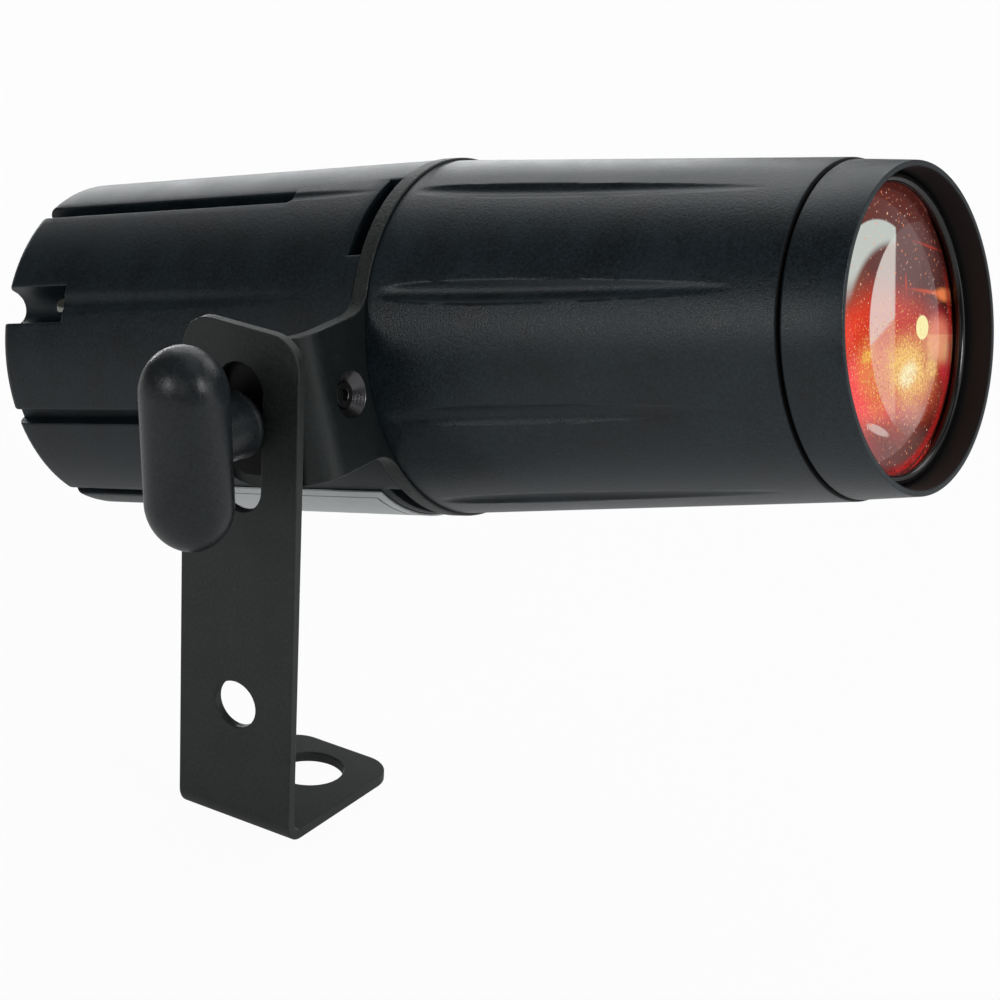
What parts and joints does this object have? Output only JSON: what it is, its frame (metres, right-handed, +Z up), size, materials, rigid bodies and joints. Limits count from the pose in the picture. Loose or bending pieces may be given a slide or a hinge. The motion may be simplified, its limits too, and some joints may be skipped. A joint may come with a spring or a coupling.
{
  "type": "pinspot light",
  "caption": "Small stage pinspot light: fluted cylinder head with a clear front lens, held at its side by a slotted sheet arm with a T-knob clamp and a foot with a bolt hole.",
  "frame": {"origin": "centre of the foot's bolt hole, on the foot's underside", "axes": "+Z up along the mounting arm, +X the way the lamp points (it is pitched up 14.3 degrees), -Y the side of the arm and the clamp knob"},
  "size_m": [0.1901, 0.1102, 0.1337],
  "materials": {
    "satin_black_casting": "satin black powder coat on cast aluminium, fine grain",
    "arm_black": "satin black powder coat on bent sheet steel",
    "clear_glass": "clear polished glass",
    "black_plastic": "moulded black plastic, satin",
    "bare_aluminium": "bare aluminium",
    "black_anodised": "black anodised aluminium",
    "gloss_rubber": "glossy black silicone",
    "red_lead": "red insulation",
    "black_nylon": "black nylon",
    "circuit_board": "green solder mask",
    "white_board": "white solder mask on aluminium",
    "black_steel": "black oxide steel, semi-gloss",
    "clear_acrylic": "clear moulded acrylic",
    "red_emitter": "red dome emitter, clear silicone",
    "zinc_steel": "zinc plated steel",
    "label_silver": "silver-white film, satin",
    "copper_winding": "copper winding on its core, varnished",
    "capacitor_sleeve": "dark blue sleeve",
    "smoked_acrylic": "smoked window, gloss",
    "module_grey": "display module body",
    "terminal_green": "green terminal housing"
  },
  "bodies": {
    "bracket": {"mount_arm": "arm_black"},
    "slot_runner": {"slot_bush": "black_nylon"},
    "head": {"rear_housing": "satin_black_casting", "front_barrel": "satin_black_casting", "yoke_plate": "arm_black", "front_bezel": "satin_black_casting", "front_lens": "clear_glass", "rear_panel": "satin_black_casting", "heat_sink": "black_anodised", "lens_gasket": "gloss_rubber", "power_inlet": "black_plastic", "data_in_socket": "black_plastic", "data_out_socket": "black_plastic", "led_lead": "red_lead", "collimator_holder": "black_plastic", "driver_board": "circuit_board", "led_board": "white_board", "data_lead_1": "black_plastic", "data_lead_2": "black_plastic", "collimator": "clear_acrylic", "mains_lead": "black_plastic", "led_emitter": "red_emitter", "chassis_tray": "bare_aluminium", "housing_bolt_1": "zinc_steel", "housing_bolt_2": "zinc_steel", "housing_bolt_3": "zinc_steel", "panel_screw_1": "black_steel", "panel_screw_2": "black_steel", "panel_screw_3": "black_steel", "power_inlet_nut": "zinc_steel", "data_in_socket_nut": "zinc_steel", "data_out_socket_nut": "zinc_steel", "rating_label": "label_silver", "yoke_screw": "black_steel", "led_screw_1": "zinc_steel", "led_screw_2": "zinc_steel", "tray_screw_1": "zinc_steel", "tray_screw_2": "zinc_steel", "filter_choke": "copper_winding", "board_spacer_1": "black_nylon", "board_spacer_2": "black_nylon", "board_spacer_3": "black_nylon", "board_spacer_4": "black_nylon", "control_board": "circuit_board", "weld_nut": "zinc_steel", "control_standoff_1": "zinc_steel", "control_standoff_2": "zinc_steel", "bulk_capacitor": "capacitor_sleeve", "display_window": "smoked_acrylic", "display_module": "module_grey", "transformer": "copper_winding", "terminal_block": "terminal_green"},
    "clamp_washer": {"thrust_washer": "black_steel"},
    "clamp_grip": {"clamp_knob": "black_plastic", "clamp_stud": "zinc_steel"},
    "press_button_1": {"button_1": "black_plastic"},
    "press_button_2": {"button_2": "black_plastic"},
    "press_button_3": {"button_3": "black_plastic"},
    "press_button_4": {"button_4": "black_plastic"}
  },
  "joints": [
    {"name": "height_slide", "type": "slide", "parent": "bracket", "child": "slot_runner", "axis": [0, 0, 1], "range_m": [-0.012, 0.006]},
    {"name": "head_tilt", "type": "hinge", "parent": "slot_runner", "child": "head", "pos_m": [0, -0.0206, 0.0802], "axis": [0, -1, 0], "range_deg": [-69, 40]},
    {"name": "clamp_travel", "type": "slide", "parent": "head", "child": "clamp_washer", "axis": [0, -1, 0], "range_m": [0, 0.00151]},
    {"name": "knob_turn", "type": "hinge", "parent": "clamp_washer", "child": "clamp_grip", "pos_m": [0, -0.0388, 0.0802], "axis": [0, -1, 0], "range_deg": [0, 540]},
    {"name": "button_1_press", "type": "slide", "parent": "head", "child": "press_button_1", "axis": [0.969, 0, 0.247], "range_m": [0, 0.0005], "stiffness_N_per_m": 800, "springref_m": -0.0006},
    {"name": "button_2_press", "type": "slide", "parent": "head", "child": "press_button_2", "axis": [0.969, 0, 0.247], "range_m": [0, 0.0005], "stiffness_N_per_m": 800, "springref_m": -0.0006},
    {"name": "button_3_press", "type": "slide", "parent": "head", "child": "press_button_3", "axis": [0.969, 0, 0.247], "range_m": [0, 0.0005], "stiffness_N_per_m": 800, "springref_m": -0.0006},
    {"name": "button_4_press", "type": "slide", "parent": "head", "child": "press_button_4", "axis": [0.969, 0, 0.247], "range_m": [0, 0.0005], "stiffness_N_per_m": 800, "springref_m": -0.0006}
  ],
  "couplings": [
    {"joint": "clamp_travel", "follows": "knob_turn", "m_per_rad": 0.00015915}
  ]
}
